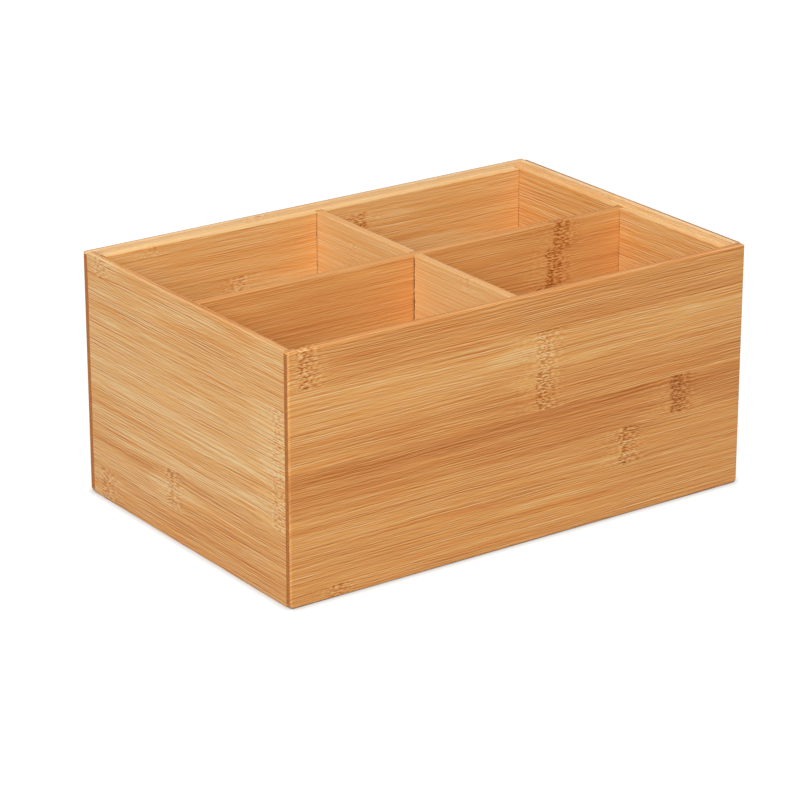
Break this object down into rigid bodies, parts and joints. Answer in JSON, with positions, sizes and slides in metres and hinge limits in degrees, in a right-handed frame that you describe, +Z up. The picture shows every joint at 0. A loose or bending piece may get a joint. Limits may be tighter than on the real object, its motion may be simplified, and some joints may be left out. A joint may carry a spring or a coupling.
{
  "type": "storage box",
  "caption": "Open-topped rectangular bamboo storage box with a stepped rim and crossed lift-out dividers that split it into equal compartments.",
  "frame": {"origin": "middle of the underside, on the surface that the box stands on", "axes": "+X along the length, +Y from the front wall to the back wall, +Z up"},
  "size_m": [0.3, 0.2, 0.14],
  "materials": {
    "bamboo_wall": "satin",
    "bamboo_divider": "satin",
    "bamboo_base": "satin"
  },
  "bodies": {
    "box": {"front_wall": "bamboo_wall", "back_wall": "bamboo_wall", "left_wall": "bamboo_wall", "right_wall": "bamboo_wall", "base_panel": "bamboo_base"},
    "short_divider": {"short_divider": "bamboo_divider"},
    "long_divider": {"long_divider": "bamboo_divider"}
  },
  "joints": [
    {"name": "short_divider_lift", "type": "slide", "parent": "box", "child": "short_divider", "axis": [0, 0, 1], "range_m": [0, 0.14]},
    {"name": "long_divider_lift", "type": "slide", "parent": "short_divider", "child": "long_divider", "axis": [0, 0, 1], "range_m": [0, 0.14]}
  ]
}
